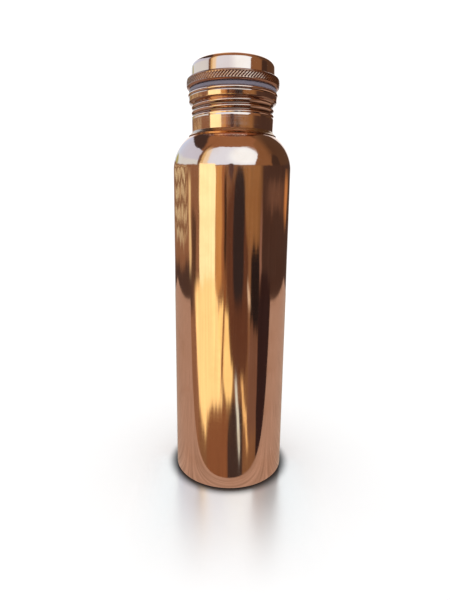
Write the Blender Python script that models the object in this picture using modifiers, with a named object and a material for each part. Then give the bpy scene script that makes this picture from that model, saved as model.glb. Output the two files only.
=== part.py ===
"""Copper water bottle with a plug-type screw cap.

Units are metres and +Z is up. The origin is the centre of the base, on the plane that the bottle
stands on. Every turned piece is a profile of (radius, height) points and a Screw modifier.
"""
import math

import bpy

MM = 0.001
COLLECTION_NAME = "copper_water_bottle"
SEGMENTS = 48                  # facets round each turned piece
GAP = 0.3 * MM                 # play between pieces that touch on the real bottle

# Body: one drawn wall with a rounded shoulder
BODY_RADIUS = 37.0 * MM
WALL = 0.8 * MM
SHOULDER_START = 202.3 * MM    # height where the straight wall ends
SHOULDER_RADIUS = 24.0 * MM
SHOULDER_HOLE = 26.05 * MM     # outer radius of the hole that the neck stands in
BASE_CORNER = 1.5 * MM
BASE_LIP_RADIUS = 34.2 * MM    # inner edge of the lip that the bottle rests on

# Base pan: a dished disc with an upturned flange, inside the wall
PAN_RADIUS = 35.8 * MM
PAN_FLANGE_HEIGHT = 6.0 * MM
PAN_RECESS = 3.6 * MM
PAN_FOOT_RADIUS = 32.5 * MM
PAN_FACE_RADIUS = 29.5 * MM

# Neck: a thin tube with a thread rolled into its wall and a flared mouth lip.
# Heights from here on are measured from the mouth plane.
MOUTH_HEIGHT = 246.75 * MM
NECK_RADIUS = 25.25 * MM
NECK_WALL = 0.7 * MM
NECK_LENGTH = 25.5 * MM
LIP_RADIUS = 27.4 * MM
LIP_EDGE = 0.9 * MM            # rounding of the lip's rim
FLARE_DEPTH = 5.0 * MM         # depth below the mouth where the lip's flare begins

# Rolled thread: single start, right-hand
PITCH = 3.15 * MM
THREAD_DEPTH = 0.5 * MM        # half the height between a groove and a ridge
THREAD_SINK = 0.35 * MM        # how far the thread's middle lies inside the neck's wall line
THREAD_TOP = -5.3 * MM
THREAD_BOTTOM = -14.7 * MM
FRONT_RIDGE = -13.45 * MM      # lowest ridge, on the side that faces -Y
ROWS_PER_TURN = 7

# Sealing ring, between the mouth lip and the cap
SEAL_BOTTOM = GAP
SEAL_TOP = 2.25 * MM
SEAL_INNER_RADIUS = 23.75 * MM
SEAL_OUTER_RADIUS = 26.75 * MM

# Cap
CAP_SEAT = SEAL_TOP + GAP      # underside of the plug's flange and of the grip ring
FLANGE_RADIUS = 25.5 * MM
FLANGE_THICKNESS = 0.95 * MM
PLUG_ROOT_RADIUS = 23.3 * MM
PLUG_BORE_RADIUS = 22.5 * MM
PLUG_LIP_RADIUS = 21.3 * MM
PLUG_BOTTOM = -14.15 * MM
PLUG_LIP_THICKNESS = 0.5 * MM
PLUG_THREAD_DEPTH = 0.45 * MM
PLUG_THREAD_TOP = -4.2 * MM
PLUG_THREAD_BOTTOM = -13.6 * MM
DISC_THICKNESS = 0.8 * MM
RING_BORE_RADIUS = 25.95 * MM
RING_RADIUS = 28.38 * MM
RING_WIDEST = 6.65 * MM
RING_TOP = 8.55 * MM
RING_BOTTOM_RADIUS = 26.6 * MM
RING_TOP_RADIUS = 27.2 * MM
CAP_FOOT_RADIUS = 25.6 * MM
CAP_TOP_RADIUS = 25.3 * MM     # the cup narrows a little towards its top
CAP_CORNER_WIDTH = 4.3 * MM
CAP_CORNER_HEIGHT = 3.6 * MM
CAP_TOP = 17.8 * MM
CAP_CROWN = 0.2 * MM           # rise of the cup's top from its corner to its centre

# Colours (linear RGB), roughness and metallic value of each finish
FINISHES = {
    "polished_copper": ((0.80, 0.36, 0.20), 0.12, 1.0),
    "knurled_copper": ((0.66, 0.29, 0.17), 0.32, 1.0),
    "braze_alloy": ((0.62, 0.36, 0.22), 0.35, 1.0),
    "grey_silicone": ((0.16, 0.15, 0.17), 0.55, 0.0),
}


def clear_scene():
    """Remove whatever objects are in the scene."""
    for obj in list(bpy.data.objects):
        bpy.data.objects.remove(obj)


def make_finish(name):
    """Principled material for one finish."""
    colour, roughness, metallic = FINISHES[name]
    material = bpy.data.materials.new(name)
    material.use_nodes = True
    shader = material.node_tree.nodes["Principled BSDF"]
    shader.inputs["Base Color"].default_value = (*colour, 1.0)
    shader.inputs["Roughness"].default_value = roughness
    shader.inputs["Metallic"].default_value = metallic
    material.diffuse_color = (*colour, 1.0)
    return material


def make_axis(name, height, collection, parent=None):
    """Empty on the bottle's axis that other pieces hang from."""
    axis = bpy.data.objects.new(name, None)
    axis.empty_display_size = 10 * MM
    axis.location = (0.0, 0.0, height)
    axis.parent = parent
    collection.objects.link(axis)
    return axis


def arc(centre, radii, start, end, steps):
    """Points of an elliptical arc about centre, from start to end in degrees."""
    points = []
    for step in range(steps + 1):
        angle = math.radians(start + (end - start) * step / steps)
        points.append((centre[0] + radii[0] * math.cos(angle), centre[1] + radii[1] * math.sin(angle)))
    return points


def turned(name, profile, finish, axis, wall=None):
    """Turn a profile about Z. With wall, the profile is a sheet's outer side and gets that thickness."""
    mesh = bpy.data.meshes.new(name)
    count = len(profile)
    edges = [(i, i + 1) for i in range(count - 1)]
    if wall is None:
        edges.append((count - 1, 0))
    mesh.from_pydata([(radius, 0.0, height) for radius, height in profile], edges, [])
    mesh.materials.append(finish)
    obj = bpy.data.objects.new(name, mesh)
    bpy.data.collections[COLLECTION_NAME].objects.link(obj)
    obj.parent = axis
    screw = obj.modifiers.new("turn", "SCREW")
    screw.steps = SEGMENTS
    screw.render_steps = SEGMENTS
    screw.use_merge_vertices = True
    screw.merge_threshold = 0.01 * MM
    screw.use_smooth_shade = True
    if wall is not None:
        sheet = obj.modifiers.new("sheet", "SOLIDIFY")
        sheet.thickness = wall
        sheet.offset = -1.0
        sheet.use_even_offset = True
    return obj


def bake_modifiers(obj):
    """Replace an object's mesh by its evaluated one, so that its points can be moved."""
    graph = bpy.context.evaluated_depsgraph_get()
    obj.data = bpy.data.meshes.new_from_object(obj.evaluated_get(graph))
    obj.modifiers.clear()
    obj.data.shade_smooth()
    obj.data.set_sharp_from_angle(angle=math.radians(50))


def smooth_step(value, low, high):
    """0 below low, 1 above high and a smooth run between them."""
    share = min(max((value - low) / (high - low), 0.0), 1.0)
    return share * share * (3.0 - 2.0 * share)


def thread_phase(angle, height):
    """Cosine of the helix: 1 on a ridge of the thread and -1 in a groove."""
    ridge = FRONT_RIDGE + PITCH * (angle + math.pi / 2) / math.tau
    return math.cos(math.tau * (height - ridge) / PITCH)


def thread_fade(height, bottom, top):
    """1 along the thread, running out to 0 over half a pitch at both ends."""
    run = PITCH / 2
    return smooth_step(height, bottom, bottom + run) * (1.0 - smooth_step(height, top - run, top))


def thread_rows(bottom, top):
    """Heights of the profile's points along a thread, from top to bottom."""
    count = round((top - bottom) / PITCH * ROWS_PER_TURN)
    return [top + (bottom - top) * row / count for row in range(count + 1)]


def roll_thread(obj, bottom, top, middle, depth, least_radius=0.0):
    """Press a helix into the wall: points outside least_radius move by middle plus the wave."""
    bake_modifiers(obj)
    for vertex in obj.data.vertices:
        x, y, height = vertex.co
        radius = math.hypot(x, y)
        if radius <= least_radius:
            continue
        wave = middle + depth * thread_phase(math.atan2(y, x), height)
        scale = 1.0 + thread_fade(height, bottom, top) * wave / radius
        vertex.co = (x * scale, y * scale, height)
    obj.data.update()


def make_body_shell(finish, axis):
    """Drawn copper wall: shoulder, straight side and the lip turned in at the base."""
    centre = (BODY_RADIUS - SHOULDER_RADIUS, SHOULDER_START)
    hole_angle = math.degrees(math.acos((SHOULDER_HOLE - centre[0]) / SHOULDER_RADIUS))
    shoulder = arc(centre, (SHOULDER_RADIUS, SHOULDER_RADIUS), hole_angle, 0.0, 8)
    corner = arc((BODY_RADIUS - BASE_CORNER, BASE_CORNER), (BASE_CORNER, BASE_CORNER), 0.0, -90.0, 3)
    return turned("body_shell", shoulder + corner + [(BASE_LIP_RADIUS, 0.0)], finish, axis, WALL)


def make_base_pan(finish, axis):
    """Dished bottom: a flange inside the wall, a foot on the lip and a raised middle."""
    foot = WALL + GAP
    profile = [(PAN_RADIUS, foot + PAN_FLANGE_HEIGHT)]
    profile += arc((PAN_RADIUS - BASE_CORNER, foot + BASE_CORNER), (BASE_CORNER, BASE_CORNER), 0.0, -90.0, 2)
    profile += [
        (PAN_FOOT_RADIUS, foot),
        (PAN_FACE_RADIUS, foot + PAN_RECESS),
        (0.0, foot + PAN_RECESS),
    ]
    return turned("base_pan", profile, finish, axis, WALL)


def make_base_braze(finish, axis):
    """Fillet of braze alloy between the wall's lip and the base pan."""
    outer = BASE_LIP_RADIUS - GAP
    profile = [(outer, WALL), (outer, GAP), (outer - 0.8 * MM, WALL)]
    return turned("base_braze_ring", profile, finish, axis)


def make_neck_braze(finish, axis):
    """Fillet of braze alloy in the corner between the neck and the shoulder."""
    neck = NECK_RADIUS + GAP
    profile = [
        (neck, -22.3 * MM),
        (25.9 * MM, -23.2 * MM),
        (26.5 * MM, -23.85 * MM),
        (27.3 * MM, -24.5 * MM),
        (27.1 * MM, -24.62 * MM),
        (26.1 * MM, -23.95 * MM),
        (neck, -23.95 * MM),
    ]
    return turned("neck_braze_ring", profile, finish, axis)


def make_neck_collar(finish, axis):
    """Neck tube with a flared mouth lip and the thread rolled into its wall."""
    bore = NECK_RADIUS - NECK_WALL
    rows = thread_rows(THREAD_BOTTOM, THREAD_TOP)
    rim = arc((LIP_RADIUS - LIP_EDGE, -LIP_EDGE), (LIP_EDGE, LIP_EDGE), 90.0, -45.0, 4)
    flare_width = 3.6 * MM
    flare_height = 3.7 * MM
    flare = arc((NECK_RADIUS + flare_width, -FLARE_DEPTH), (flare_width, flare_height), 120.0, 180.0, 4)
    outer = rim + flare + [(NECK_RADIUS, height) for height in rows] + [(NECK_RADIUS, -NECK_LENGTH)]
    inner = [(bore, -NECK_LENGTH)] + [(bore, height) for height in reversed(rows)]
    inner += [(bore, -0.4 * MM), (bore + 0.4 * MM, 0.0)]
    collar = turned("neck_collar", outer + inner, finish, axis)
    roll_thread(collar, THREAD_BOTTOM, THREAD_TOP, -THREAD_SINK, THREAD_DEPTH)
    return collar


def make_sealing_ring(finish, axis):
    """Silicone ring that the cap squeezes onto the mouth lip."""
    middle = (SEAL_BOTTOM + SEAL_TOP) / 2
    bulge = 0.35 * MM
    half = SEAL_TOP - middle
    outer = arc((SEAL_OUTER_RADIUS - bulge, middle), (bulge, half), 80.0, -80.0, 4)
    inner = [(SEAL_INNER_RADIUS, SEAL_BOTTOM), (SEAL_INNER_RADIUS, SEAL_TOP)]
    return turned("sealing_ring", outer + inner, finish, axis)


def make_threaded_plug(finish, axis):
    """Plug that screws into the neck: a flange under the cap and a threaded tube below it."""
    relief = PLUG_ROOT_RADIUS
    chamfer = 0.4 * MM
    profile = [
        (FLANGE_RADIUS, CAP_SEAT + FLANGE_THICKNESS),
        (FLANGE_RADIUS, CAP_SEAT),
        (relief, CAP_SEAT),
    ]
    profile += [(relief, height) for height in thread_rows(PLUG_THREAD_BOTTOM, PLUG_THREAD_TOP)]
    profile += [
        (relief, PLUG_BOTTOM + chamfer),
        (relief - chamfer, PLUG_BOTTOM),
        (PLUG_LIP_RADIUS, PLUG_BOTTOM),
        (PLUG_LIP_RADIUS, PLUG_BOTTOM + PLUG_LIP_THICKNESS),
        (PLUG_BORE_RADIUS, PLUG_BOTTOM + PLUG_LIP_THICKNESS),
        (PLUG_BORE_RADIUS, CAP_SEAT + FLANGE_THICKNESS),
    ]
    plug = turned("threaded_plug", profile, finish, axis)
    least_radius = (PLUG_ROOT_RADIUS + PLUG_BORE_RADIUS) / 2
    roll_thread(plug, PLUG_THREAD_BOTTOM, PLUG_THREAD_TOP, PLUG_THREAD_DEPTH, PLUG_THREAD_DEPTH, least_radius)
    return plug


def make_plug_disc(finish, axis):
    """Disc that closes the plug's lower end."""
    bottom = PLUG_BOTTOM + PLUG_LIP_THICKNESS + GAP
    radius = PLUG_BORE_RADIUS - GAP
    profile = [(0.0, bottom + DISC_THICKNESS), (radius, bottom + DISC_THICKNESS), (radius, bottom), (0.0, bottom)]
    return turned("plug_disc", profile, finish, axis)


def make_knurled_ring(finish, axis):
    """Grip ring round the cap's foot, widest near its top and drawn in to a lip below."""
    lower_height = RING_WIDEST - CAP_SEAT
    upper_height = RING_TOP - RING_WIDEST
    outer = [(RING_TOP_RADIUS, RING_TOP)]
    for share in (0.6, 0.0):
        outer.append((RING_RADIUS - (RING_RADIUS - RING_TOP_RADIUS) * share ** 2, RING_WIDEST + share * upper_height))
    for share in (0.4, 0.7, 0.87, 1.0):
        outer.append((RING_RADIUS - (RING_RADIUS - RING_BOTTOM_RADIUS) * share ** 2, RING_WIDEST - share * lower_height))
    return turned("knurled_ring", outer + [(RING_BORE_RADIUS, CAP_SEAT), (RING_BORE_RADIUS, RING_TOP)], finish, axis)


def make_cap_shell(finish, axis):
    """Polished cup that closes the cap from above."""
    foot = CAP_SEAT + FLANGE_THICKNESS + GAP
    corner_centre = (CAP_TOP_RADIUS - CAP_CORNER_WIDTH, CAP_TOP - CAP_CORNER_HEIGHT)
    corner = arc(corner_centre, (CAP_CORNER_WIDTH, CAP_CORNER_HEIGHT), 90.0, 0.0, 5)
    crown = [(0.0, CAP_TOP + CAP_CROWN), (corner_centre[0] / 2, CAP_TOP + CAP_CROWN * 0.75)]
    return turned("cap_shell", crown + corner + [(CAP_FOOT_RADIUS, foot)], finish, axis, WALL)


def main():
    clear_scene()
    collection = bpy.data.collections.new(COLLECTION_NAME)
    bpy.context.scene.collection.children.link(collection)
    polished = make_finish("polished_copper")
    braze = make_finish("braze_alloy")

    base_axis = make_axis("bottle_axis", 0.0, collection)
    make_body_shell(polished, base_axis)
    make_base_pan(polished, base_axis)
    make_base_braze(braze, base_axis)

    mouth_axis = make_axis("mouth_axis", MOUTH_HEIGHT, collection, base_axis)
    bpy.context.view_layer.update()
    make_neck_collar(polished, mouth_axis)
    make_neck_braze(braze, mouth_axis)

    lift_axis = make_axis("cap_lift_axis", 0.0, collection, mouth_axis)
    turn_axis = make_axis("cap_turn_axis", 0.0, collection, lift_axis)
    make_sealing_ring(make_finish("grey_silicone"), lift_axis)
    make_threaded_plug(polished, turn_axis)
    make_plug_disc(polished, turn_axis)
    make_knurled_ring(make_finish("knurled_copper"), turn_axis)
    make_cap_shell(polished, turn_axis)


main()
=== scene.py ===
"""Polished copper water bottle with a screw cap: its detailed pieces, finishes and studio."""

import math

import bmesh
import bpy
from mathutils import Matrix, Vector


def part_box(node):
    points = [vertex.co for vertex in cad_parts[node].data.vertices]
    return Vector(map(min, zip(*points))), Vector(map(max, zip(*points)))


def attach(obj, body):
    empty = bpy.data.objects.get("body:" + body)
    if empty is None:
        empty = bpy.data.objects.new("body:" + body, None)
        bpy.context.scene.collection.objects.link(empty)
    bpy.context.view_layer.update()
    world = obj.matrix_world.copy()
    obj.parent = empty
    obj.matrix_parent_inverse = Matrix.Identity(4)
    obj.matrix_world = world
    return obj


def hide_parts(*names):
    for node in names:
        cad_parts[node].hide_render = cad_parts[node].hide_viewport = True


bl_info = {
    "name": "Copper Bottle",
    "version": (1, 0, 0),
    "blender": (4, 5, 0),
    "location": "View3D > Sidebar > Copper Bottle",
    "description": "Makes a polished copper bottle with a screw cap, piece by piece",
    "category": "Add Mesh",
}

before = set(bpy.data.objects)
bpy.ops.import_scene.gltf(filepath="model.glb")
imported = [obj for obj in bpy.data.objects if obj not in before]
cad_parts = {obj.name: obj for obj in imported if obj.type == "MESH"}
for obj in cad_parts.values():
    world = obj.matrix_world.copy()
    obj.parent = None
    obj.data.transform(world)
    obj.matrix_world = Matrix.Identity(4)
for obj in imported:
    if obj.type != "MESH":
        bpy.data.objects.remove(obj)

MM = 0.001
BODY_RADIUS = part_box("body_shell")[1].x
MOUTH_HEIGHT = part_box("neck_collar")[1].z
TURNED_STEPS = 256  # facets round a turned piece
WEDGES = 16  # a turned piece is spun as this many equal wedges
SMOOTH_LIMIT = math.radians(38)  # edges sharper than this stay crisp
KNURL_LIMIT = math.radians(20)  # the same, for the facets of the knurling

# The rolled thread, as the solid neck and plug have it. Heights are in mm from the mouth plane.
THREAD_PITCH = 3.15
NECK_THREAD = (-14.7, -5.3)
PLUG_THREAD = (-13.6, -4.2)
THREAD_START = -13.45

# The camera: where it stands, in metres, how it is turned, in radians, and its lens.
CAMERA_PLACE = (0, -0.2925, 0.1821)
CAMERA_YAW, CAMERA_PITCH, CAMERA_ROLL = -0.0124, 0.2154, 0.0095
CAMERA_LENS = 26.54


def linear(hex_colour):
    """An sRGB hex value as the linear red, green and blue that shaders take."""
    channels = [int(hex_colour[i : i + 2], 16) / 255 for i in (0, 2, 4)]
    return tuple(c / 12.92 if c <= 0.04045 else ((c + 0.055) / 1.055) ** 2.4 for c in channels)


# ---------------------------------------------------------------- settings


class BottleSizes(bpy.types.PropertyGroup):
    """Sizes that change the look of the pieces and not their fit."""

    # Finer knurling than this is too fine to show from where the camera stands.
    knurl_count: bpy.props.IntProperty(
        name="Knurl strokes",
        description="Strokes of the knurling once round the grip ring, a multiple of 4",
        default=96, min=24, max=200, step=4,
    )
    knurl_depth: bpy.props.FloatProperty(
        name="Knurl depth", description="Height of the ridges", default=0.26 * MM, unit="LENGTH"
    )


class BottleColours(bpy.types.PropertyGroup):
    """Colours of the finishes, as linear values."""

    copper: bpy.props.FloatVectorProperty(
        name="Polished copper", description="Bare, buffed copper",
        default=linear("F7CBB6"), subtype="COLOR",
    )
    copper_worn: bpy.props.FloatVectorProperty(
        name="Handled copper", description="Copper with a thin warm oxide film",
        default=linear("EBB79C"), subtype="COLOR",
    )
    # The grip's copper is darker than the body's: partly handling, partly painted shade.
    copper_stained: bpy.props.FloatVectorProperty(
        name="Stained copper", description="Copper of the grip, darkened by handling",
        default=linear("D99B78"), subtype="COLOR",
    )
    # The seal's grey is partly the rubber's own and partly painted shade from the grip above it.
    silicone: bpy.props.FloatVectorProperty(
        name="Silicone", description="Grey moulded silicone of the seal",
        default=linear("746C78"), subtype="COLOR",
    )
    braze: bpy.props.FloatVectorProperty(
        name="Braze", description="Brazing alloy at the seams",
        default=linear("D9B08C"), subtype="COLOR",
    )


# ---------------------------------------------------------------- shaping


class HalfSection:
    """Half of a turned piece's cross section, drawn in mm as a chain of edges: X outwards, Z up."""

    def __init__(self, radius, height):
        self.mesh = bmesh.new()
        self.first = self.tip = self.mesh.verts.new((radius, 0, height))

    def to(self, radius, height):
        """A straight line to a point."""
        point = self.mesh.verts.new((radius, 0, height))
        self.mesh.edges.new((self.tip, point))
        self.tip = point
        return self

    def run(self, radius, height, steps):
        """A straight line in equal steps, for a wall that is shaped afterwards."""
        start = self.tip.co.copy()
        end = Vector((radius, 0, height))
        for i in range(1, steps + 1):
            place = start.lerp(end, i / steps)
            self.to(place.x, place.z)
        return self

    def arc(self, centre, degrees, steps, flatten=1.0):
        """An arc round a centre (radius, height), anticlockwise if degrees is above 0."""
        middle = Vector((centre[0], 0, centre[1]))
        before = set(self.mesh.verts)
        made = bmesh.ops.spin(
            self.mesh, geom=[self.tip], cent=middle, axis=(0, -1, 0),
            angle=math.radians(degrees), steps=steps,
        )
        if flatten != 1.0:
            new = [v for v in self.mesh.verts if v not in before]
            bmesh.ops.scale(
                self.mesh, vec=(1, 1, flatten), space=Matrix.Translation(-middle), verts=new
            )
        self.tip = [g for g in made["geom_last"] if isinstance(g, bmesh.types.BMVert)][0]
        return self

    def close(self):
        self.mesh.edges.new((self.tip, self.first))
        return self

    def round_corners(self, radius, segments, turn=40):
        """Rounds each corner of the chain that turns more than so many degrees."""
        for vert in list(self.mesh.verts):
            if len(vert.link_edges) != 2:
                continue
            arms = [e.other_vert(vert).co - vert.co for e in vert.link_edges]
            bend = math.pi - arms[0].angle(arms[1])
            if bend < math.radians(turn):
                continue
            reach = min(radius * math.tan(bend / 2), 0.45 * min(a.length for a in arms))
            bmesh.ops.bevel(
                self.mesh, geom=[vert], offset=reach, offset_type="OFFSET", segments=segments,
                profile=0.5, affect="VERTICES", material=-1,
            )
        return self

    def turned(self, steps=TURNED_STEPS):
        """The section spun once round the Z axis and joined up, as one wedge and its copies."""
        mesh = self.mesh
        wedge = 2 * math.pi / WEDGES
        axis = {"cent": (0, 0, 0), "axis": (0, 0, 1)}
        bmesh.ops.spin(
            mesh, geom=mesh.verts[:] + mesh.edges[:], angle=wedge, steps=steps // WEDGES, **axis
        )
        bmesh.ops.spin(
            mesh, geom=mesh.verts[:] + mesh.edges[:] + mesh.faces[:], angle=wedge * (WEDGES - 1),
            steps=WEDGES - 1, use_duplicate=True, **axis,
        )
        # This also draws the points on the axis together, which closes the poles.
        bmesh.ops.remove_doubles(mesh, verts=mesh.verts[:], dist=0.002)
        bmesh.ops.recalc_face_normals(mesh, faces=mesh.faces[:])
        return mesh


def fade(height, limits):
    """1 inside the thread, easing to 0 over half a turn at both ends."""
    low, high = limits
    edge = min((height - low), (high - height)) / (THREAD_PITCH / 2)
    edge = max(0.0, min(1.0, edge))
    return edge * edge * (3 - 2 * edge)


def roll_thread(mesh, limits, wall_radius, rest, swing):
    """Pushes a turned wall in and out along a helix, as a thread roller does.

    Only the wall outside wall_radius moves. Its groove attribute is 1 at a root and 0 at a ridge.
    """
    depth = mesh.verts.layers.float.new("groove")
    for vert in mesh.verts:
        radius = math.hypot(vert.co.x, vert.co.y)
        if radius < wall_radius:
            continue
        share = fade(vert.co.z, limits)
        if share <= 0:
            continue
        turn = (math.atan2(vert.co.y, vert.co.x) + math.pi / 2) / (2 * math.pi)
        ridge = THREAD_START + THREAD_PITCH * turn
        wave = math.cos(2 * math.pi * (vert.co.z - ridge) / THREAD_PITCH)
        push = share * (rest + swing * wave)
        vert[depth] = share * (0.5 - 0.5 * wave)
        vert.co.x *= (radius + push) / radius
        vert.co.y *= (radius + push) / radius


def piece(mesh, name, finish, body, nodes, base_height=0.0):
    """Turns a mesh drawn in mm into a finished object at the origin that rides on its body."""
    bmesh.ops.translate(mesh, vec=(0, 0, base_height / MM), verts=mesh.verts[:])
    bmesh.ops.scale(mesh, vec=(MM, MM, MM), verts=mesh.verts[:])
    data = bpy.data.meshes.new(name)
    mesh.to_mesh(data)
    mesh.free()
    made = bpy.data.objects.new(name, data)
    bpy.context.scene.collection.objects.link(made)
    data.materials.append(finish)
    data.shade_smooth()
    data.set_sharp_from_angle(angle=SMOOTH_LIMIT)
    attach(made, body)
    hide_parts(*nodes)
    return made


# ---------------------------------------------------------------- finishes


def add(tree, kind, settings=None, inputs=None):
    """Adds a node, sets its properties, and sets or links its inputs by name or number."""
    made = tree.nodes.new(kind)
    for key, value in (settings or {}).items():
        setattr(made, key, value)
    for key, value in (inputs or {}).items():
        socket = made.inputs[key]
        if isinstance(value, bpy.types.NodeSocket):
            tree.links.new(value, socket)
        else:
            socket.default_value = value
    return made


def blank(name):
    """A new material with only its output, and its node tree."""
    made = bpy.data.materials.new(name)
    made.use_nodes = True
    made.node_tree.nodes.clear()
    return made, made.node_tree


def rgba(colour):
    return (*colour[:3], 1.0)


def spun_copper(name, colour, worn, gloss, lines, waves, film):
    """Copper worked on a spinning lathe.

    Fine lines run round the piece where the buffing wheel or the spinning tool passed, the wall
    is never quite flat, and handling leaves a patchy warm film that is slightly duller. Gloss is
    the roughness and how far it varies; lines and waves are a width and a depth in mm; film is
    the most that the film covers.
    """
    roughness, spread = gloss
    line_mm, line_depth = lines
    dent_mm, dent_depth = waves
    made, tree = blank(name)
    place = add(tree, "ShaderNodeTexCoord").outputs["Object"]
    # Buffing lines: noise stretched round the piece, so only height changes it quickly.
    per_metre = 1 / (line_mm * MM)
    stretched = add(
        tree, "ShaderNodeMapping", {"vector_type": "POINT"},
        {"Vector": place, "Scale": (per_metre / 60, per_metre / 60, per_metre)},
    ).outputs[0]
    scores = add(
        tree, "ShaderNodeTexNoise", {"noise_dimensions": "3D"},
        {"Vector": stretched, "Scale": 1.0, "Detail": 2.0, "Roughness": 0.6},
    ).outputs[0]
    # The sheet's own slight waves.
    swell = add(
        tree, "ShaderNodeTexNoise", {"noise_dimensions": "3D"},
        {"Vector": place, "Scale": 1 / (dent_mm * MM), "Detail": 1.0, "Roughness": 0.4},
    ).outputs[0]
    # The film lies in patches about a finger's width across.
    patches = add(
        tree, "ShaderNodeTexNoise", {"noise_dimensions": "3D"},
        {"Vector": place, "Scale": 1 / (24 * MM), "Detail": 4.0, "Roughness": 0.55},
    ).outputs[0]
    film_share = add(
        tree, "ShaderNodeMapRange", {"interpolation_type": "SMOOTHSTEP"},
        {"Value": patches, "From Min": 0.42, "From Max": 0.72, "To Min": 0.0, "To Max": film},
    ).outputs[0]
    tint = add(
        tree, "ShaderNodeMix", {"data_type": "RGBA"},
        {"Factor": film_share, 6: rgba(colour), 7: rgba(worn)},
    ).outputs[2]
    sheen = add(
        tree, "ShaderNodeMapRange", {},
        {
            "Value": scores, "From Min": 0.3, "From Max": 0.7,
            "To Min": roughness - spread, "To Max": roughness + spread,
        },
    ).outputs[0]
    dull = add(
        tree, "ShaderNodeMath", {"operation": "MULTIPLY_ADD"}, {0: film_share, 1: 0.05, 2: sheen}
    ).outputs[0]
    bent = add(
        tree, "ShaderNodeBump", {}, {"Strength": 1.0, "Distance": dent_depth * MM, "Height": swell}
    ).outputs[0]
    scored = add(
        tree, "ShaderNodeBump", {},
        {"Strength": 1.0, "Distance": line_depth * MM, "Height": scores, "Normal": bent},
    ).outputs[0]
    metal = add(
        tree, "ShaderNodeBsdfPrincipled", {},
        {"Base Color": tint, "Metallic": 1.0, "Roughness": dull, "Normal": scored},
    )
    add(tree, "ShaderNodeOutputMaterial", {}, {"Surface": metal.outputs[0]})
    return made


def polished_copper(context):
    """Buffed copper of the body, neck and cap: mirror bright, with faint wheel lines."""
    colours = context.scene.bottle_colours
    return bpy.data.materials.get("polished_copper") or spun_copper(
        "polished_copper", colours.copper, colours.copper_worn,
        gloss=(0.07, 0.02), lines=(0.7, 0.001), waves=(26, 0.028), film=0.5,
    )


def paint_groove_shade(made, shade_colour, starts, full, most):
    """Paints shade into the metal's colour, towards a dark colour where the mesh's groove attribute
    is high.
    """
    tree = made.node_tree
    metal = next(n for n in tree.nodes if n.bl_idname == "ShaderNodeBsdfPrincipled")
    groove = add(tree, "ShaderNodeAttribute", {"attribute_name": "groove"}).outputs["Fac"]
    shade_share = add(
        tree, "ShaderNodeMapRange", {"interpolation_type": "SMOOTHSTEP"},
        {"Value": groove, "From Min": starts, "From Max": full, "To Min": 0.0, "To Max": most},
    ).outputs[0]
    clean = metal.inputs["Base Color"].links[0].from_socket
    tint = add(
        tree, "ShaderNodeMix", {"data_type": "RGBA"},
        {"Factor": shade_share, 6: clean, 7: rgba(linear(shade_colour))},
    ).outputs[2]
    tree.links.new(tint, metal.inputs["Base Color"])


def knurled_copper(context):
    """Copper pressed by a knurling wheel: bright ridges, with painted shade in the grooves and on
    the trailing flanks.
    """
    found = bpy.data.materials.get("wheel_knurled_copper")
    if found:
        return found
    colours = context.scene.bottle_colours
    # Darker copper than the body's: partly handling, partly painted shade.
    made = spun_copper(
        "wheel_knurled_copper", colours.copper_worn, colours.copper_stained,
        gloss=(0.2, 0.04), lines=(0.7, 0.0006), waves=(30, 0.01), film=0.8,
    )
    # Painted shade: dark brown in the knurling's grooves and on its trailing flanks, about half as
    # much on the plain edges.
    paint_groove_shade(made, "6A3420", 0.2, 0.8, 0.9)
    return made


def rolled_copper(context):
    """Buffed copper of the neck, with painted shade in the rolled thread's roots and on the collar.
    """
    found = bpy.data.materials.get("rolled_copper")
    if found:
        return found
    colours = context.scene.bottle_colours
    made = spun_copper(
        "rolled_copper", colours.copper, colours.copper_worn,
        gloss=(0.09, 0.03), lines=(0.7, 0.0012), waves=(20, 0.015), film=0.7,
    )
    # Painted shade: dark brown in the thread's roots, on the flare under the band and in the groove
    # under the lip.
    paint_groove_shade(made, "6B4230", 0.1, 0.9, 0.75)
    return made


def spun_satin_copper(context):
    """Copper left as it came off the spinning lathe, on the plug: satin, with turning lines."""
    colours = context.scene.bottle_colours
    return bpy.data.materials.get("spun_satin_copper") or spun_copper(
        "spun_satin_copper", colours.copper, colours.copper_worn,
        gloss=(0.28, 0.06), lines=(0.9, 0.003), waves=(18, 0.02), film=0.8,
    )


def drawn_satin_copper(context):
    """Deep-drawn copper of the base: satin, with the marks of the die running round it."""
    colours = context.scene.bottle_colours
    return bpy.data.materials.get("drawn_satin_copper") or spun_copper(
        "drawn_satin_copper", colours.copper, colours.copper_worn,
        gloss=(0.24, 0.05), lines=(1.2, 0.004), waves=(14, 0.03), film=0.9,
    )


def brazing_alloy(context):
    """Copper-phosphor braze run into a joint: a little paler and rougher than the sheet."""
    colours = context.scene.bottle_colours
    return bpy.data.materials.get("brazing_alloy") or spun_copper(
        "brazing_alloy", colours.braze, colours.copper_worn,
        gloss=(0.18, 0.05), lines=(0.5, 0.002), waves=(6, 0.02), film=0.6,
    )


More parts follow.
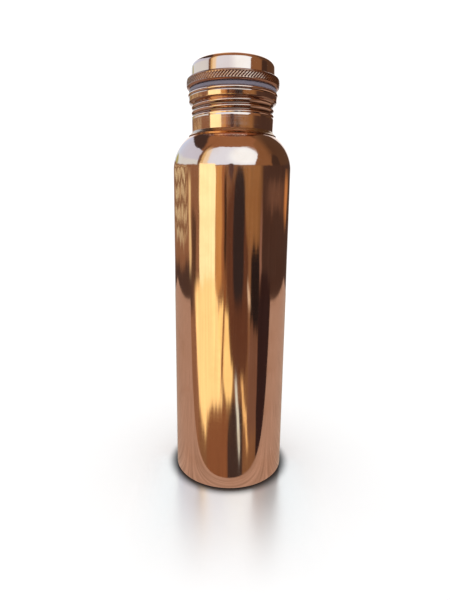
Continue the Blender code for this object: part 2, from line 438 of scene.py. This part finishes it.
def moulded_silicone(context):
    """Grey silicone rubber from a smooth mould, partly darkened with painted shade: soft sheen,
    faint dust and a little wear.
    """
    found = bpy.data.materials.get("moulded_silicone")
    if found:
        return found
    colours = context.scene.bottle_colours
    made, tree = blank("moulded_silicone")
    place = add(tree, "ShaderNodeTexCoord").outputs["Object"]
    dust = add(
        tree, "ShaderNodeTexNoise", {},
        {"Vector": place, "Scale": 1 / (3 * MM), "Detail": 5.0, "Roughness": 0.6},
    ).outputs[0]
    shade = add(
        tree, "ShaderNodeMapRange", {},
        {"Value": dust, "From Min": 0.3, "From Max": 0.7, "To Min": 0.88, "To Max": 1.06},
    ).outputs[0]
    tint = add(
        tree, "ShaderNodeVectorMath", {"operation": "SCALE"},
        {0: tuple(colours.silicone), "Scale": shade},
    ).outputs[0]
    gloss = add(
        tree, "ShaderNodeMapRange", {},
        {"Value": dust, "From Min": 0.3, "From Max": 0.7, "To Min": 0.42, "To Max": 0.56},
    ).outputs[0]
    # The mould's fine grit.
    grain = add(
        tree, "ShaderNodeTexNoise", {}, {"Vector": place, "Scale": 1 / (0.35 * MM), "Detail": 2.0}
    ).outputs[0]
    skin = add(
        tree, "ShaderNodeBump", {}, {"Strength": 0.5, "Distance": 0.01 * MM, "Height": grain}
    ).outputs[0]
    rubber = add(
        tree, "ShaderNodeBsdfPrincipled", {},
        {"Base Color": tint, "Roughness": gloss, "Normal": skin, "IOR": 1.41, "Sheen Weight": 0.08},
    )
    add(tree, "ShaderNodeOutputMaterial", {}, {"Surface": rubber.outputs[0]})
    return made


# ---------------------------------------------------------------- pieces


class MakeBody(bpy.types.Operator):
    """Spins the seamless body: straight wall, round shoulder and the neck's hole"""

    bl_idname = "copper_bottle.make_body"
    bl_label = "Body"

    def execute(self, context):
        radius = BODY_RADIUS / MM
        wall = 0.8
        shoulder = (13.0, 202.3)
        sweep = 57.05
        corner = 1.5
        section = HalfSection(34.2, wall).to(34.2, 0.0).to(radius - corner, 0.0)
        section.arc((radius - corner, corner), 90, 8).run(radius, shoulder[1], 24)
        section.arc(shoulder, sweep, 40)
        edge = section.tip.co
        inward = (Vector((shoulder[0], 0, shoulder[1])) - edge).normalized() * wall
        section.to(edge.x + inward.x, edge.z + inward.z).arc(shoulder, -sweep, 40)
        section.run(radius - wall, corner, 24).arc((radius - corner, corner), -90, 6).close()
        mesh = section.turned()
        finish = polished_copper(context)
        piece(mesh, "bottle_body", finish, "bottle", ["body_shell"])
        return {"FINISHED"}


class MakeBase(bpy.types.Operator):
    """Presses the base dish and runs the braze that holds it in the body"""

    bl_idname = "copper_bottle.make_base"
    bl_label = "Base"

    def execute(self, context):
        dish = HalfSection(0, 3.6).run(29.5, 3.6, 10).to(32.5, 1.1).to(35.0, 1.1).to(35.8, 1.9)
        dish.to(35.8, 6.0).to(35.0, 6.0).to(35.0, 2.3).to(32.9, 1.9).to(29.9, 4.4).run(0, 4.4, 10)
        dish.round_corners(0.5, 4, 25)
        finish = drawn_satin_copper(context)
        piece(dish.turned(), "base_dish", finish, "bottle", ["base_pan"])
        seam = HalfSection(34.25, 0.25).to(34.25, 1.15).to(33.1, 1.15)
        seam.arc((33.25, 0.35), -85, 6).close()
        finish = brazing_alloy(context)
        piece(seam.turned(), "base_seam", finish, "bottle", ["base_braze_ring"])
        return {"FINISHED"}


class MakeNeck(bpy.types.Operator):
    """Spins the neck, rolls its thread, curls its lip and brazes it into the shoulder"""

    bl_idname = "copper_bottle.make_neck"
    bl_label = "Neck"

    def execute(self, context):
        outer, wall, bottom = 25.25, 0.7, -25.5
        flare, groove = (-6.2, -4.9), (-2.2, -1.6)  # from and to, in height
        # The plain band above the shoulder leans out a little, and the thread's wall leans back.
        section = HalfSection(outer - 0.25, bottom).run(outer + 0.12, -15.2, 50)
        section.run(outer, -6.3, 45)
        # The collar under the lip: a short flare, a plain band and a fine groove.
        section.to(25.4, -6.05).to(25.8, -5.75).to(26.35, -5.45).to(26.75, -5.15).to(26.92, -4.8)
        section.run(27.17, -2.35, 8).to(27.1, -2.1).to(26.85, -1.9).to(26.85, -1.75)
        section.to(27.2, -1.55)
        section.to(27.4, -1.2).arc((26.5, -0.9), 90, 8)
        section.to(25.7, 0.0).arc((25.7, -0.9), 60, 6)
        section.to(outer - wall, -5.0).run(outer - wall, bottom, 100).close()
        mesh = section.turned()
        roll_thread(mesh, NECK_THREAD, 20, -0.34, 0.49)
        # Painted shade on the flare under the band, and in the groove under the lip.
        groove_shade = mesh.verts.layers.float["groove"]
        for vert in mesh.verts:
            if math.hypot(vert.co.x, vert.co.y) <= outer + 0.1:
                continue
            if flare[0] < vert.co.z < flare[1]:
                vert[groove_shade] = 0.8
            elif groove[0] < vert.co.z < groove[1]:
                vert[groove_shade] = 1.0
        finish = rolled_copper(context)
        piece(mesh, "neck", finish, "bottle", ["neck_collar"], MOUTH_HEIGHT)
        seam = HalfSection(25.05, -22.1).to(25.45, -22.35).to(25.9, -23.2).to(26.5, -23.85)
        seam.to(27.3, -24.5).to(27.0, -24.9).to(25.05, -24.0).close()
        finish, nodes = brazing_alloy(context), ["neck_braze_ring"]
        piece(seam.turned(), "neck_seam", finish, "bottle", nodes, MOUTH_HEIGHT)
        return {"FINISHED"}


class MakeSeal(bpy.types.Operator):
    """Moulds the silicone ring that the cap squeezes on the mouth"""

    bl_idname = "copper_bottle.make_seal"
    bl_label = "Seal"

    def execute(self, context):
        section = HalfSection(23.75, 0.05).to(26.3, 0.05).to(26.75, 0.6).to(26.75, 1.9)
        section.to(26.3, 2.5).to(23.75, 2.5).close().round_corners(0.35, 4, 20)
        finish, nodes = moulded_silicone(context), ["sealing_ring"]
        piece(section.turned(), "silicone_seal", finish, "seal", nodes, MOUTH_HEIGHT)
        return {"FINISHED"}


class MakePlug(bpy.types.Operator):
    """Spins the plug with its own rolled thread, and its end disc"""

    bl_idname = "copper_bottle.make_plug"
    bl_label = "Plug"

    def execute(self, context):
        root, bore, bottom = 23.3, 22.5, -14.15
        section = HalfSection(25.5, 2.55).to(25.5, 3.5).to(bore, 3.5).run(bore, bottom + 0.5, 80)
        section.to(21.3, bottom + 0.5).to(21.3, bottom).to(root, bottom).run(root, 2.55, 80).close()
        section.round_corners(0.25, 3, 60)
        mesh = section.turned()
        roll_thread(mesh, PLUG_THREAD, 22.0, 0.45, 0.45)
        finish = spun_satin_copper(context)
        piece(mesh, "plug_cup", finish, "cap", ["threaded_plug"], MOUTH_HEIGHT)
        disc = HalfSection(0, -13.6).run(21.5, -13.6, 6).to(22.2, -13.35).to(22.2, -12.55)
        disc.to(0, -12.55)
        piece(disc.turned(), "plug_end", finish, "cap", ["plug_disc"], MOUTH_HEIGHT)
        return {"FINISHED"}


class MakeGrip(bpy.types.Operator):
    """Turns the grip ring and presses slanting knurling into its face"""

    bl_idname = "copper_bottle.make_grip"
    bl_label = "Knurled grip"

    def execute(self, context):
        sizes = context.scene.bottle_sizes
        columns = 4 * sizes.knurl_count
        rows, bottom = 8, 3.6
        crown_radius, crown_height, bulge = 28.35, 5.5, 0.035
        face_from = 27.8  # the knurled face lies outside this radius
        # A step up is as long as a step round, so the strokes lie at 45 degrees.
        step = 2 * math.pi * 28 / columns
        section = HalfSection(25.95, 2.55).to(26.5, 2.55).to(26.95, 2.7).to(27.5, 2.95)
        section.to(27.95, 3.3)
        for row in range(rows + 1):
            height = bottom + row * step
            section.to(crown_radius - bulge * (height - crown_height) ** 2, height)
        section.to(28.05, 7.85).to(27.65, 8.2).to(27.0, 8.42).to(25.95, 8.55).close()
        mesh = section.turned(columns)
        depth = mesh.verts.layers.float.new("groove")
        # In turn: ridge, trailing flank, groove, leading flank. Shade is painted on the trailing
        # flank and in the groove; the ridge and the leading flank stay bright.
        wave = (0.0, 0.5, 1.0, 0.5)
        flank_shade = (0.2, 1.0, 1.0, 0.1)
        for vert in mesh.verts:
            radius = math.hypot(vert.co.x, vert.co.y)
            row = round((vert.co.z - bottom) / step)
            if radius < face_from or not 0 < row < rows:
                vert[depth] = 0.5  # painted shade, about half strength, on the plain edges
                continue
            column = round(math.atan2(vert.co.y, vert.co.x) / (2 * math.pi) * columns)
            # One wheel cuts deep; the second, crossing it, only nicks the ridges.
            cut = max(wave[(column - row) % 4], wave[(column + row) % 4] - 0.5)
            sunk = (radius - cut * sizes.knurl_depth / MM) / radius
            vert.co.x *= sunk
            vert.co.y *= sunk
            vert[depth] = flank_shade[(column - row) % 4]
        bmesh.ops.triangulate(mesh, faces=mesh.faces[:], quad_method="SHORT_EDGE")
        bmesh.ops.recalc_face_normals(mesh, faces=mesh.faces[:])
        finish, nodes = knurled_copper(context), ["knurled_ring"]
        made = piece(mesh, "knurled_grip", finish, "cap", nodes, MOUTH_HEIGHT)
        made.data.set_sharp_from_angle(angle=KNURL_LIMIT)
        return {"FINISHED"}


class MakeCap(bpy.types.Operator):
    """Draws the cap's cup, with its round edge and slightly crowned top"""

    bl_idname = "copper_bottle.make_cap"
    bl_label = "Cap"

    def execute(self, context):
        wall = 0.8
        edge = (21.0, 14.2)  # what the round edge turns about
        edge_width, edge_height = 4.3, 3.6
        section = HalfSection(25.6 - wall, 3.8).to(25.6, 3.8).run(25.3, edge[1], 10)
        section.arc(edge, 90, 20, flatten=edge_height / edge_width)
        section.to(14.0, 17.9).to(7.0, 17.98).to(0, 18.0)
        section.to(0, 18.0 - wall).to(14.0, 17.9 - wall).to(21.0, 17.8 - wall)
        section.arc(edge, -90, 20).close()
        finish = polished_copper(context)
        piece(section.turned(), "cap_cup", finish, "cap", ["cap_shell"], MOUTH_HEIGHT)
        return {"FINISHED"}


# ---------------------------------------------------------------- studio

# Panels of the studio round the bottle, seen only in its polish, from the farthest to the
# nearest. Each is: name, centre (azimuth, elevation), half size, squareness (2 is an ellipse),
# slant (degrees of azimuth for each degree of elevation), softness of the edge and linear colour.
# Azimuth 0 is in front and 90 to the right. All angles are in degrees.
STUDIO = (
    ("eaves, left", (-118, 46), (44, 16), 2, 0, 5, (0.06, 0.045, 0.04)),
    ("eaves, right", (132, 32), (34, 34), 2, 0, 12, (0.10, 0.06, 0.035)),
    ("gold lamp behind", (-158, 66), (14, 12), 2, 0, 8, (0.60, 0.42, 0.16)),
    ("open sky, left", (-104, 8), (62, 35), 2.6, 0, 1.2, (0.62, 0.86, 1.18)),
    ("sky glow, left", (-100, 10), (58, 10), 3, 0, 6, (0.72, 1.00, 1.15)),
    ("trees, left", (-141, 12), (10, 5), 2, 0, 4, (0.45, 0.50, 0.22)),
    ("sky, front", (0, 28), (56, 29), 3.4, 0, 1.2, (0.80, 1.15, 1.50)),
    ("sky, bright right", (26, 31), (30, 25), 2, 0, 22, (1.02, 1.50, 1.82)),
    ("sky top, dark frame", (0, 80), (90, 22.5), 8, 0, 1.2, (0.31, 0.175, 0.09)),
    ("sky, cream left", (-54, 20), (7, 26), 4, 0, 6, (0.95, 1.00, 0.75)),
    ("wall, right", (107, 14), (62, 48), 14, 0.5, 1.5, (0.25, 0.145, 0.07)),
    ("wall, right, in shade", (128, 26), (40, 34), 2.4, 0, 24, (0.10, 0.062, 0.038)),
    ("dark doorway, right", (94, 12), (11, 17), 2.5, 0, 4, (0.06, 0.04, 0.03)),
    ("post between skies", (-66, 16), (4, 40), 8, 0, 2.5, (0.18, 0.11, 0.06)),
    ("gilt of the post", (-60, 14), (3, 30), 6, 0, 2.5, (0.75, 0.66, 0.34)),
    ("white behind, left", (-171, 22), (13, 34), 6, 0, 3, (0.95, 1.00, 1.02)),
    ("white behind, right", (169, 22), (14, 34), 6, 0, 3, (0.95, 1.00, 1.02)),
    ("dark floor, front", (0, -68), (120, 34), 10, 0, 3, (0.07, 0.045, 0.035)),
    ("wall, left", (-112, -10), (46, 19.5), 10, 0, 2, (0.28, 0.17, 0.10)),
    ("dark footing, left", (-118, -10.5), (42, 3), 6, 0, 2, (0.08, 0.055, 0.045)),
    ("front wall", (14, -14), (80, 22), 12, 0, 1.5, (0.24, 0.145, 0.075)),
    ("brown wall, front right", (38, 1), (24, 6.5), 8, 0, 1.5, (0.31, 0.19, 0.08)),
    ("side wall, right", (108, -5), (50, 14), 8, 0, 4, (0.07, 0.045, 0.035)),
    ("shelf, right", (96, 1), (22, 1.6), 4, 0, 2, (0.16, 0.10, 0.07)),
    ("orange lamp", (132, 1), (7, 2.5), 2, 0, 4, (0.60, 0.30, 0.11)),
    ("cream wall", (-47.5, -3), (17, 14), 12, 0, 1.5, (1.35, 1.42, 0.86)),
    ("gold wall", (-44, -19.5), (26, 10), 5, -0.8, 2, (1.30, 1.15, 0.55)),
    ("amber wall", (-23.5, -2), (7, 9), 10, 0, 1.5, (0.62, 0.38, 0.13)),
    ("amber shade", (-15, -2), (3, 9), 8, 0, 1.5, (0.34, 0.17, 0.07)),
    ("gold sheet", (-8, -19), (12, 6), 3, -1.2, 1.5, (1.22, 1.06, 0.46)),
    ("dark leaf", (-11.5, -2), (2.5, 6), 6, 0, 1.5, (0.05, 0.03, 0.02)),
    ("brown leg", (-13, -16), (2, 8), 6, 0.5, 1.5, (0.26, 0.12, 0.05)),
    ("brown back", (14, -10), (21, 12.5), 2.8, -0.5, 2, (0.125, 0.062, 0.036)),
    ("dark round shade", (15, -4), (11, 9), 4, 0, 2.5, (0.036, 0.030, 0.030)),
    ("dark head", (-1, 7), (5, 4), 2.4, 0, 1.5, (0.10, 0.07, 0.065)),
    ("dark board, right", (50, -11), (10, 5.5), 5, 0, 1.5, (0.022, 0.018, 0.018)),
    ("pale post, right", (61.5, -9), (2.2, 8), 5, -0.25, 2, (0.30, 0.20, 0.15)),
    ("glint", (36.5, -11.5), (2.2, 2), 3, -1.5, 2, (0.75, 0.70, 0.52)),
    ("grey-brown mat", (49, -23), (12, 6.5), 4, 0, 2, (0.20, 0.12, 0.08)),
    ("dark mat, right", (72, -22), (14, 13), 4, 0, 2, (0.035, 0.022, 0.022)),
    ("brown mat", (-20, -34), (26, 8), 6, -0.3, 1.5, (0.25, 0.125, 0.06)),
    ("dark mat", (14, -33), (16, 7.5), 5, 0, 1.5, (0.06, 0.045, 0.04)),
    ("white slit", (18, -27), (2.6, 5), 3, -0.95, 1.2, (0.80, 1.05, 1.00)),
    ("gold slit", (33, -26.5), (3.2, 3.8), 3, -2.0, 1.5, (0.98, 0.76, 0.34)),
    ("bright post, left", (-88, -2), (3.2, 6), 6, 0, 2, (0.85, 0.80, 0.45)),
    ("dark block, left", (-78, -6), (5, 5), 5, 0, 2, (0.11, 0.07, 0.045)),
)
WINDOWS = ("lit windows, left", (-122, 2), (27, 6.5), 8, 0, 2, None)
ABOVE = (0.31, 0.175, 0.09)  # overhead, past every panel
WANDER = (7, 5, 0)  # how far an outline strays, in degrees across and up


def studio_panel(tree, azimuth, elevation, under, spec, pattern=None):
    """Adds one soft-edged panel over what is already there, plain or with a pattern."""
    _, centre, half, squareness, slant, soft, colour = spec
    rise = add(
        tree, "ShaderNodeMath", {"operation": "SUBTRACT"}, {0: elevation, 1: centre[1]}
    ).outputs[0]
    lean = add(
        tree, "ShaderNodeMath", {"operation": "MULTIPLY_ADD"}, {0: rise, 1: -slant, 2: -centre[0]}
    ).outputs[0]
    across = add(tree, "ShaderNodeMath", {"operation": "ADD"}, {0: azimuth, 1: lean}).outputs[0]
    powers = []
    for offset, reach in ((across, half[0]), (rise, half[1])):
        share = add(
            tree, "ShaderNodeMath", {"operation": "DIVIDE"}, {0: offset, 1: reach}
        ).outputs[0]
        share = add(tree, "ShaderNodeMath", {"operation": "ABSOLUTE"}, {0: share}).outputs[0]
        powers.append(
            add(
                tree, "ShaderNodeMath", {"operation": "POWER"}, {0: share, 1: squareness}
            ).outputs[0]
        )
    total = add(
        tree, "ShaderNodeMath", {"operation": "ADD"}, {0: powers[0], 1: powers[1]}
    ).outputs[0]
    distance = add(
        tree, "ShaderNodeMath", {"operation": "POWER"}, {0: total, 1: 1 / squareness}
    ).outputs[0]
    edge = soft / min(half)
    mask = add(
        tree, "ShaderNodeMapRange", {"interpolation_type": "SMOOTHSTEP"},
        {
            "Value": distance, "From Min": 1 - edge / 2, "From Max": 1 + edge / 2,
            "To Min": 1.0, "To Max": 0.0,
        },
    ).outputs[0]
    return add(
        tree, "ShaderNodeMix", {"data_type": "RGBA"},
        {"Factor": mask, 6: under, 7: pattern or rgba(colour)},
    ).outputs[2]


def light_studio(scene):
    """White all round for the eye and for soft light, and the coloured panels for the polish."""
    world = bpy.data.worlds.new("studio")
    scene.world = world
    world.use_nodes = True
    world.cycles.sampling_method = "NONE"
    tree = world.node_tree
    tree.nodes.clear()
    direction = add(tree, "ShaderNodeTexCoord").outputs["Generated"]
    x, y, z = add(tree, "ShaderNodeSeparateXYZ", {}, {0: direction}).outputs
    ahead = add(tree, "ShaderNodeMath", {"operation": "MULTIPLY"}, {0: y, 1: -1.0}).outputs[0]
    azimuth = add(tree, "ShaderNodeMath", {"operation": "ARCTAN2"}, {0: x, 1: ahead}).outputs[0]
    azimuth = add(tree, "ShaderNodeMath", {"operation": "DEGREES"}, {0: azimuth}).outputs[0]
    elevation = add(tree, "ShaderNodeMath", {"operation": "ARCSINE"}, {0: z}).outputs[0]
    elevation = add(tree, "ShaderNodeMath", {"operation": "DEGREES"}, {0: elevation}).outputs[0]
    angles = add(tree, "ShaderNodeCombineXYZ", {}, {0: azimuth, 1: elevation}).outputs[0]
    # Nothing in a real room has ruled edges, so every outline wanders a little.
    wander = add(
        tree, "ShaderNodeTexNoise", {},
        {"Vector": angles, "Scale": 0.11, "Detail": 2.0, "Roughness": 0.6},
    ).outputs["Color"]
    wander = add(
        tree, "ShaderNodeVectorMath", {"operation": "SUBTRACT"}, {0: wander, 1: (0.5, 0.5, 0.5)}
    ).outputs[0]
    angles = add(
        tree, "ShaderNodeVectorMath", {"operation": "MULTIPLY_ADD"},
        {0: wander, 1: WANDER, 2: angles},
    ).outputs[0]
    azimuth, elevation, _ = add(tree, "ShaderNodeSeparateXYZ", {}, {0: angles}).outputs
    seen = rgba(ABOVE)
    for spec in STUDIO:
        seen = studio_panel(tree, azimuth, elevation, seen, spec)
    panes = add(
        tree, "ShaderNodeTexBrick", {},
        {
            "Vector": angles, "Color1": (0.80, 0.84, 0.55, 1), "Color2": (0.46, 0.34, 0.18, 1),
            "Mortar": (0.24, 0.15, 0.085, 1), "Mortar Size": 0.75, "Mortar Smooth": 0.5,
            "Scale": 1.0, "Brick Width": 4.6, "Row Height": 2.7,
        },
    ).outputs[0]
    seen = studio_panel(tree, azimuth, elevation, seen, WINDOWS, panes)
    # Upright streaks, as every wall has battens, frames and folds.
    stretched = add(
        tree, "ShaderNodeMapping", {"vector_type": "POINT"},
        {"Vector": angles, "Scale": (0.55, 0.035, 1)},
    ).outputs[0]
    streaks = add(
        tree, "ShaderNodeTexNoise", {},
        {"Vector": stretched, "Scale": 1.0, "Detail": 3.0, "Roughness": 0.65},
    ).outputs[0]
    below_sky = add(
        tree, "ShaderNodeMapRange", {"interpolation_type": "SMOOTHSTEP"},
        {"Value": elevation, "From Min": 6.0, "From Max": 10.0, "To Min": 0.95, "To Max": 0.08},
    ).outputs[0]
    offset = add(tree, "ShaderNodeMath", {"operation": "SUBTRACT"}, {0: streaks, 1: 0.5}).outputs[0]
    shade = add(
        tree, "ShaderNodeMath", {"operation": "MULTIPLY_ADD"}, {0: offset, 1: below_sky, 2: 1.0}
    ).outputs[0]
    seen = add(
        tree, "ShaderNodeVectorMath", {"operation": "SCALE"}, {0: seen, "Scale": shade}
    ).outputs[0]
    rays = add(tree, "ShaderNodeLightPath").outputs
    mirrored = add(tree, "ShaderNodeBackground", {}, {"Color": seen, "Strength": 1.0}).outputs[0]
    plain = add(
        tree, "ShaderNodeBackground", {}, {"Color": (1, 1, 1, 1), "Strength": 1.15}
    ).outputs[0]
    shown = add(
        tree, "ShaderNodeMixShader", {}, {0: rays["Is Glossy Ray"], 1: plain, 2: mirrored}
    ).outputs[0]
    add(tree, "ShaderNodeOutputWorld", {}, {"Surface": shown})


def floor_material():
    """Pale varnished studio floor: a soft mirror in front of the bottle, dark close round it."""
    made, tree = blank("studio_floor")
    place = add(tree, "ShaderNodeTexCoord").outputs["Object"]
    # Contact shadow: almost black under the bottle's edge, and gone 9 mm outside its wall.
    reach = add(tree, "ShaderNodeVectorMath", {"operation": "LENGTH"}, {0: place}).outputs["Value"]
    shadow = add(
        tree, "ShaderNodeMapRange", {"interpolation_type": "SMOOTHERSTEP"},
        {"Value": reach, "From Min": 35 * MM, "From Max": 46 * MM, "To Min": 0.05, "To Max": 0.95},
    ).outputs[0]
    pale = add(tree, "ShaderNodeCombineColor", {}, {0: shadow, 1: shadow, 2: shadow}).outputs[0]
    depth = add(tree, "ShaderNodeMath", {"operation": "MULTIPLY"}, {0: shadow, 1: 1.05}).outputs[0]
    mirror = add(tree, "ShaderNodeCombineColor", {}, {0: depth, 1: depth, 2: depth}).outputs[0]
    # The varnish is whole just in front of the bottle and fades out all round.
    x, y, _ = add(tree, "ShaderNodeSeparateXYZ", {}, {0: place}).outputs
    side = add(tree, "ShaderNodeMath", {"operation": "ABSOLUTE"}, {0: x}).outputs[0]
    beside = add(
        tree, "ShaderNodeMapRange", {"interpolation_type": "SMOOTHSTEP"},
        {"Value": side, "From Min": 36 * MM, "From Max": 62 * MM, "To Min": 1.0, "To Max": 0.0},
    ).outputs[0]
    ahead = add(
        tree, "ShaderNodeMapRange", {"interpolation_type": "SMOOTHSTEP"},
        {"Value": y, "From Min": -125 * MM, "From Max": -30 * MM, "To Min": 0.0, "To Max": 0.62},
    ).outputs[0]
    before = add(
        tree, "ShaderNodeMapRange", {"interpolation_type": "SMOOTHSTEP"},
        {"Value": y, "From Min": -10 * MM, "From Max": 10 * MM, "To Min": 1.0, "To Max": 0.0},
    ).outputs[0]
    gloss = add(tree, "ShaderNodeMath", {"operation": "MULTIPLY"}, {0: beside, 1: ahead}).outputs[0]
    gloss = add(tree, "ShaderNodeMath", {"operation": "MULTIPLY"}, {0: gloss, 1: before}).outputs[0]
    paint = add(tree, "ShaderNodeBsdfDiffuse", {}, {"Color": pale}).outputs[0]
    varnish = add(
        tree, "ShaderNodeBsdfGlossy", {}, {"Color": mirror, "Roughness": 0.25}
    ).outputs[0]
    both = add(tree, "ShaderNodeMixShader", {}, {0: gloss, 1: paint, 2: varnish}).outputs[0]
    add(tree, "ShaderNodeOutputMaterial", {}, {"Surface": both})
    return made


def table_material():
    """Oiled tan wood with fine grain, seen only in the polish. Its light is painted in: it glows
    instead of being lit.
    """
    made, tree = blank("tan_table")
    place = add(tree, "ShaderNodeTexCoord").outputs["Object"]
    along = add(
        tree, "ShaderNodeMapping", {"vector_type": "POINT"},
        {"Vector": place, "Scale": (12.0, 520.0, 1.0)},
    ).outputs[0]
    grain = add(
        tree, "ShaderNodeTexNoise", {},
        {"Vector": along, "Scale": 1.0, "Detail": 3.0, "Roughness": 0.6},
    ).outputs[0]
    tone = add(
        tree, "ShaderNodeMix", {"data_type": "RGBA"},
        {"Factor": grain, 6: (0.13, 0.09, 0.055, 1), 7: (0.74, 0.59, 0.48, 1)},
    ).outputs[2]
    glow = add(tree, "ShaderNodeEmission", {}, {"Color": tone, "Strength": 1.0})
    add(tree, "ShaderNodeOutputMaterial", {}, {"Surface": glow.outputs[0]})
    return made


def flat_sheet(name, corners, height, finish):
    """A flat rectangle between two corners (x, y) at a height."""
    (x0, y0), (x1, y1) = corners
    mesh = bmesh.new()
    bmesh.ops.create_grid(mesh, x_segments=1, y_segments=1, size=0.5)
    bmesh.ops.scale(mesh, vec=(x1 - x0, y1 - y0, 1), verts=mesh.verts[:])
    bmesh.ops.translate(mesh, vec=((x0 + x1) / 2, (y0 + y1) / 2, height), verts=mesh.verts[:])
    data = bpy.data.meshes.new(name)
    mesh.to_mesh(data)
    mesh.free()
    made = bpy.data.objects.new(name, data)
    bpy.context.scene.collection.objects.link(made)
    data.materials.append(finish)
    return made


class MakeStage(bpy.types.Operator):
    """Lays the pale floor and the hidden table, lights the studio and sets up the camera"""

    bl_idname = "copper_bottle.make_stage"
    bl_label = "Studio"

    def execute(self, context):
        scene = context.scene
        # The floor lies a hair below the bottle, and the table, which only the polish sees,
        # a hair below the floor.
        floor = flat_sheet("floor", ((-6, -6), (6, 6)), -0.0002, floor_material())
        floor.visible_glossy = False
        table = flat_sheet("table", ((-0.6, -0.049), (0.6, 0.6)), -0.0004, table_material())
        table.visible_camera = False
        table.visible_diffuse = False
        table.visible_shadow = False
        table.visible_transmission = False
        light_studio(scene)
        view = bpy.data.cameras.new("camera")
        view.lens = CAMERA_LENS
        view.sensor_width = 36
        view.clip_start, view.clip_end = 0.01, 50
        camera = bpy.data.objects.new("camera", view)
        scene.collection.objects.link(camera)
        yaw, pitch, roll = CAMERA_YAW, CAMERA_PITCH, CAMERA_ROLL
        level = math.cos(pitch)
        ahead = Vector((math.sin(yaw) * level, math.cos(yaw) * level, -math.sin(pitch)))
        right = Vector((math.cos(yaw), -math.sin(yaw), 0))
        up = right.cross(ahead)
        across = math.cos(roll) * right + math.sin(roll) * up
        upward = math.cos(roll) * up - math.sin(roll) * right
        turn = Matrix((across, upward, -ahead)).transposed()
        camera.matrix_world = Matrix.Translation(CAMERA_PLACE) @ turn.to_4x4()
        scene.camera = camera
        scene.view_settings.view_transform = "Standard"
        return {"FINISHED"}


# ---------------------------------------------------------------- add-on

PIECES = (MakeBody, MakeBase, MakeNeck, MakeSeal, MakePlug, MakeGrip, MakeCap, MakeStage)


class BottlePanel(bpy.types.Panel):
    """Lists the pieces with their sizes and colours"""

    bl_idname = "VIEW3D_PT_copper_bottle"
    bl_label = "Copper Bottle"
    bl_space_type = "VIEW_3D"
    bl_region_type = "UI"
    bl_category = "Copper Bottle"

    def draw(self, context):
        layout = self.layout
        for group in (context.scene.bottle_sizes, context.scene.bottle_colours):
            for name in group.__annotations__:
                layout.prop(group, name)
        for maker in PIECES:
            layout.operator(maker.bl_idname)


CLASSES = (BottleSizes, BottleColours, *PIECES, BottlePanel)


def register():
    for cls in CLASSES:
        bpy.utils.register_class(cls)
    bpy.types.Scene.bottle_sizes = bpy.props.PointerProperty(type=BottleSizes)
    bpy.types.Scene.bottle_colours = bpy.props.PointerProperty(type=BottleColours)


def unregister():
    del bpy.types.Scene.bottle_colours
    del bpy.types.Scene.bottle_sizes
    for cls in reversed(CLASSES):
        bpy.utils.unregister_class(cls)


def main():
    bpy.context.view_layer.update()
    register()
    for maker in PIECES:
        group, name = maker.bl_idname.split(".")
        getattr(getattr(bpy.ops, group), name)()


if __name__ == "__main__":
    main()
